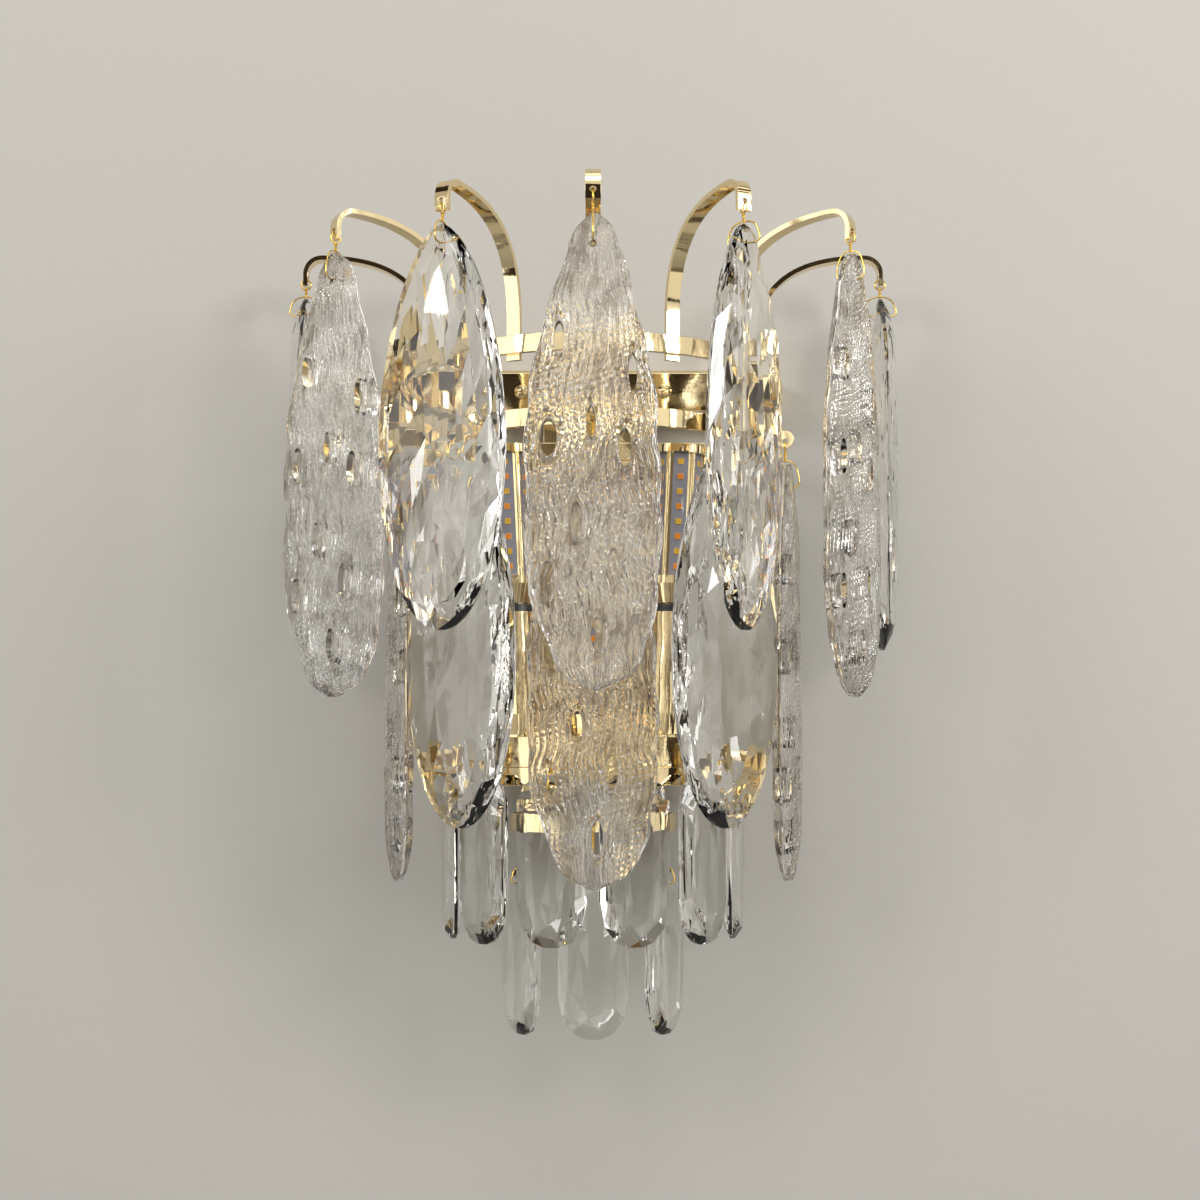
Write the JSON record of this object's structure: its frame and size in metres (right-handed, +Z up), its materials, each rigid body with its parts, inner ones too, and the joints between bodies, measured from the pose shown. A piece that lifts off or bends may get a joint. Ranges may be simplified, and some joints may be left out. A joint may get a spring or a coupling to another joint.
{
  "type": "crystal wall sconce",
  "caption": "Wall light with a gilt strip frame, lamps on a tray and tiers of hanging cast and cut glass.",
  "frame": {"origin": "middle of the mounting bracket's back face on the wall", "axes": "+Z up, +X to the viewer's right, -Y out from the wall towards the room"},
  "size_m": [0.3388, 0.2081, 0.4273],
  "materials": {
    "gilt_metal": "polished pale gold",
    "wire_gilt": "polished yellow gold wire",
    "bracket_steel": "zinc plated",
    "block_plastic": "natural nylon",
    "black_plastic": "moulded black",
    "circuit_board": "white solder mask with phosphor chips",
    "clear_glass": "clear, cut and cast"
  },
  "bodies": {
    "frame": {"mounting_bracket": "bracket_steel", "wall_canopy": "gilt_metal", "canopy_screws": "gilt_metal", "terminal_block": "block_plastic", "spine_plate": "gilt_metal", "lamp_tray": "gilt_metal", "ring_1": "gilt_metal", "ring_2": "gilt_metal", "ring_3": "gilt_metal", "ring_4": "gilt_metal", "top_arms": "gilt_metal", "hanging_tabs": "gilt_metal", "lamp_cups": "gilt_metal", "clamp_nuts": "gilt_metal", "candle_sleeves": "gilt_metal", "lampholders": "black_plastic", "bulb_bodies": "gilt_metal", "led_boards": "circuit_board"},
    "tier_1_far_left": {"tier_1_drop_far_left": "clear_glass", "tier_1_wire_far_left": "wire_gilt"},
    "tier_1_left": {"tier_1_bark_left": "clear_glass", "tier_1_wire_left": "wire_gilt"},
    "tier_1_front_left": {"tier_1_drop_front_left": "clear_glass", "tier_1_wire_front_left": "wire_gilt"},
    "tier_1_front": {"tier_1_bark_front": "clear_glass", "tier_1_wire_front": "wire_gilt"},
    "tier_1_front_right": {"tier_1_drop_front_right": "clear_glass", "tier_1_wire_front_right": "wire_gilt"},
    "tier_1_right": {"tier_1_bark_right": "clear_glass", "tier_1_wire_right": "wire_gilt"},
    "tier_1_far_right": {"tier_1_drop_far_right": "clear_glass", "tier_1_wire_far_right": "wire_gilt"},
    "tier_2_far_left": {"tier_2_bark_far_left": "clear_glass", "tier_2_wire_far_left": "wire_gilt"},
    "tier_2_left": {"tier_2_drop_left": "clear_glass", "tier_2_wire_left": "wire_gilt"},
    "tier_2_front": {"tier_2_bark_front": "clear_glass", "tier_2_wire_front": "wire_gilt"},
    "tier_2_right": {"tier_2_drop_right": "clear_glass", "tier_2_wire_right": "wire_gilt"},
    "tier_2_far_right": {"tier_2_bark_far_right": "clear_glass", "tier_2_wire_far_right": "wire_gilt"},
    "tier_3_far_left": {"tier_3_prism_far_left": "clear_glass", "tier_3_wire_far_left": "wire_gilt"},
    "tier_3_left": {"tier_3_prism_left": "clear_glass", "tier_3_wire_left": "wire_gilt"},
    "tier_3_front_left": {"tier_3_prism_front_left": "clear_glass", "tier_3_wire_front_left": "wire_gilt"},
    "tier_3_front_right": {"tier_3_prism_front_right": "clear_glass", "tier_3_wire_front_right": "wire_gilt"},
    "tier_3_right": {"tier_3_prism_right": "clear_glass", "tier_3_wire_right": "wire_gilt"},
    "tier_3_far_right": {"tier_3_prism_far_right": "clear_glass", "tier_3_wire_far_right": "wire_gilt"},
    "tier_4_left": {"tier_4_prism_left": "clear_glass", "tier_4_wire_left": "wire_gilt"},
    "tier_4_front": {"tier_4_prism_front": "clear_glass", "tier_4_wire_front": "wire_gilt"},
    "tier_4_right": {"tier_4_prism_right": "clear_glass", "tier_4_wire_right": "wire_gilt"}
  },
  "joints": [
    {"name": "tier_1_far_left_swing", "type": "hinge", "parent": "frame", "child": "tier_1_far_left", "pos_m": [-0.16, -0.038, 0.0567], "axis": [0, 1, 0], "range_deg": [-4, 30]},
    {"name": "tier_1_left_swing", "type": "hinge", "parent": "frame", "child": "tier_1_left", "pos_m": [-0.13106, -0.12977, 0.0567], "axis": [-0.5736, 0.8192, 0], "range_deg": [-4, 30]},
    {"name": "tier_1_front_left_swing", "type": "hinge", "parent": "frame", "child": "tier_1_front_left", "pos_m": [-0.07264, -0.18056, 0.0567], "axis": [-0.891, 0.454, 0], "range_deg": [-4, 30]},
    {"name": "tier_1_front_swing", "type": "hinge", "parent": "frame", "child": "tier_1_front", "pos_m": [0, -0.198, 0.0567], "axis": [-1, 0, 0], "range_deg": [-4, 30]},
    {"name": "tier_1_front_right_swing", "type": "hinge", "parent": "frame", "child": "tier_1_front_right", "pos_m": [0.07264, -0.18056, 0.0567], "axis": [-0.891, -0.454, 0], "range_deg": [-4, 30]},
    {"name": "tier_1_right_swing", "type": "hinge", "parent": "frame", "child": "tier_1_right", "pos_m": [0.13106, -0.12977, 0.0567], "axis": [-0.5736, -0.8192, 0], "range_deg": [-4, 30]},
    {"name": "tier_1_far_right_swing", "type": "hinge", "parent": "frame", "child": "tier_1_far_right", "pos_m": [0.16, -0.038, 0.0567], "axis": [0, -1, 0], "range_deg": [-4, 30]},
    {"name": "tier_2_far_left_swing", "type": "hinge", "parent": "frame", "child": "tier_2_far_left", "pos_m": [-0.10446, -0.06116, -0.0355], "axis": [-0.2164, 0.9763, 0], "range_deg": [-2, 8]},
    {"name": "tier_2_left_swing", "type": "hinge", "parent": "frame", "child": "tier_2_left", "pos_m": [-0.06734, -0.12115, -0.0355], "axis": [-0.7771, 0.6293, 0], "range_deg": [-2, 8]},
    {"name": "tier_2_front_swing", "type": "hinge", "parent": "frame", "child": "tier_2_front", "pos_m": [0, -0.145, -0.0355], "axis": [-1, 0, 0], "range_deg": [-2, 8]},
    {"name": "tier_2_right_swing", "type": "hinge", "parent": "frame", "child": "tier_2_right", "pos_m": [0.06734, -0.12115, -0.0355], "axis": [-0.7771, -0.6293, 0], "range_deg": [-2, 8]},
    {"name": "tier_2_far_right_swing", "type": "hinge", "parent": "frame", "child": "tier_2_far_right", "pos_m": [0.10446, -0.06116, -0.0355], "axis": [-0.2164, -0.9763, 0], "range_deg": [-2, 8]},
    {"name": "tier_3_far_left_swing", "type": "hinge", "parent": "frame", "child": "tier_3_far_left", "pos_m": [-0.07583, -0.05137, -0.206], "axis": [-0.1736, 0.9848, 0], "range_deg": [-2, 8]},
    {"name": "tier_3_left_swing", "type": "hinge", "parent": "frame", "child": "tier_3_left", "pos_m": [-0.05722, -0.08952, -0.206], "axis": [-0.6691, 0.7431, 0], "range_deg": [-2, 8]},
    {"name": "tier_3_front_left_swing", "type": "hinge", "parent": "frame", "child": "tier_3_front_left", "pos_m": [-0.02122, -0.11202, -0.206], "axis": [-0.9613, 0.2756, 0], "range_deg": [-2, 8]},
    {"name": "tier_3_front_right_swing", "type": "hinge", "parent": "frame", "child": "tier_3_front_right", "pos_m": [0.02122, -0.11202, -0.206], "axis": [-0.9613, -0.2756, 0], "range_deg": [-2, 8]},
    {"name": "tier_3_right_swing", "type": "hinge", "parent": "frame", "child": "tier_3_right", "pos_m": [0.05722, -0.08952, -0.206], "axis": [-0.6691, -0.7431, 0], "range_deg": [-2, 8]},
    {"name": "tier_3_far_right_swing", "type": "hinge", "parent": "frame", "child": "tier_3_far_right", "pos_m": [0.07583, -0.05137, -0.206], "axis": [-0.1736, -0.9848, 0], "range_deg": [-2, 8]},
    {"name": "tier_4_left_swing", "type": "hinge", "parent": "frame", "child": "tier_4_left", "pos_m": [-0.03816, -0.06185, -0.2453], "axis": [-0.5299, 0.848, 0], "range_deg": [-4, 10]},
    {"name": "tier_4_front_swing", "type": "hinge", "parent": "frame", "child": "tier_4_front", "pos_m": [0, -0.083, -0.2453], "axis": [-1, 0, 0], "range_deg": [-4, 10]},
    {"name": "tier_4_right_swing", "type": "hinge", "parent": "frame", "child": "tier_4_right", "pos_m": [0.03816, -0.06185, -0.2453], "axis": [-0.5299, -0.848, 0], "range_deg": [-4, 10]}
  ]
}
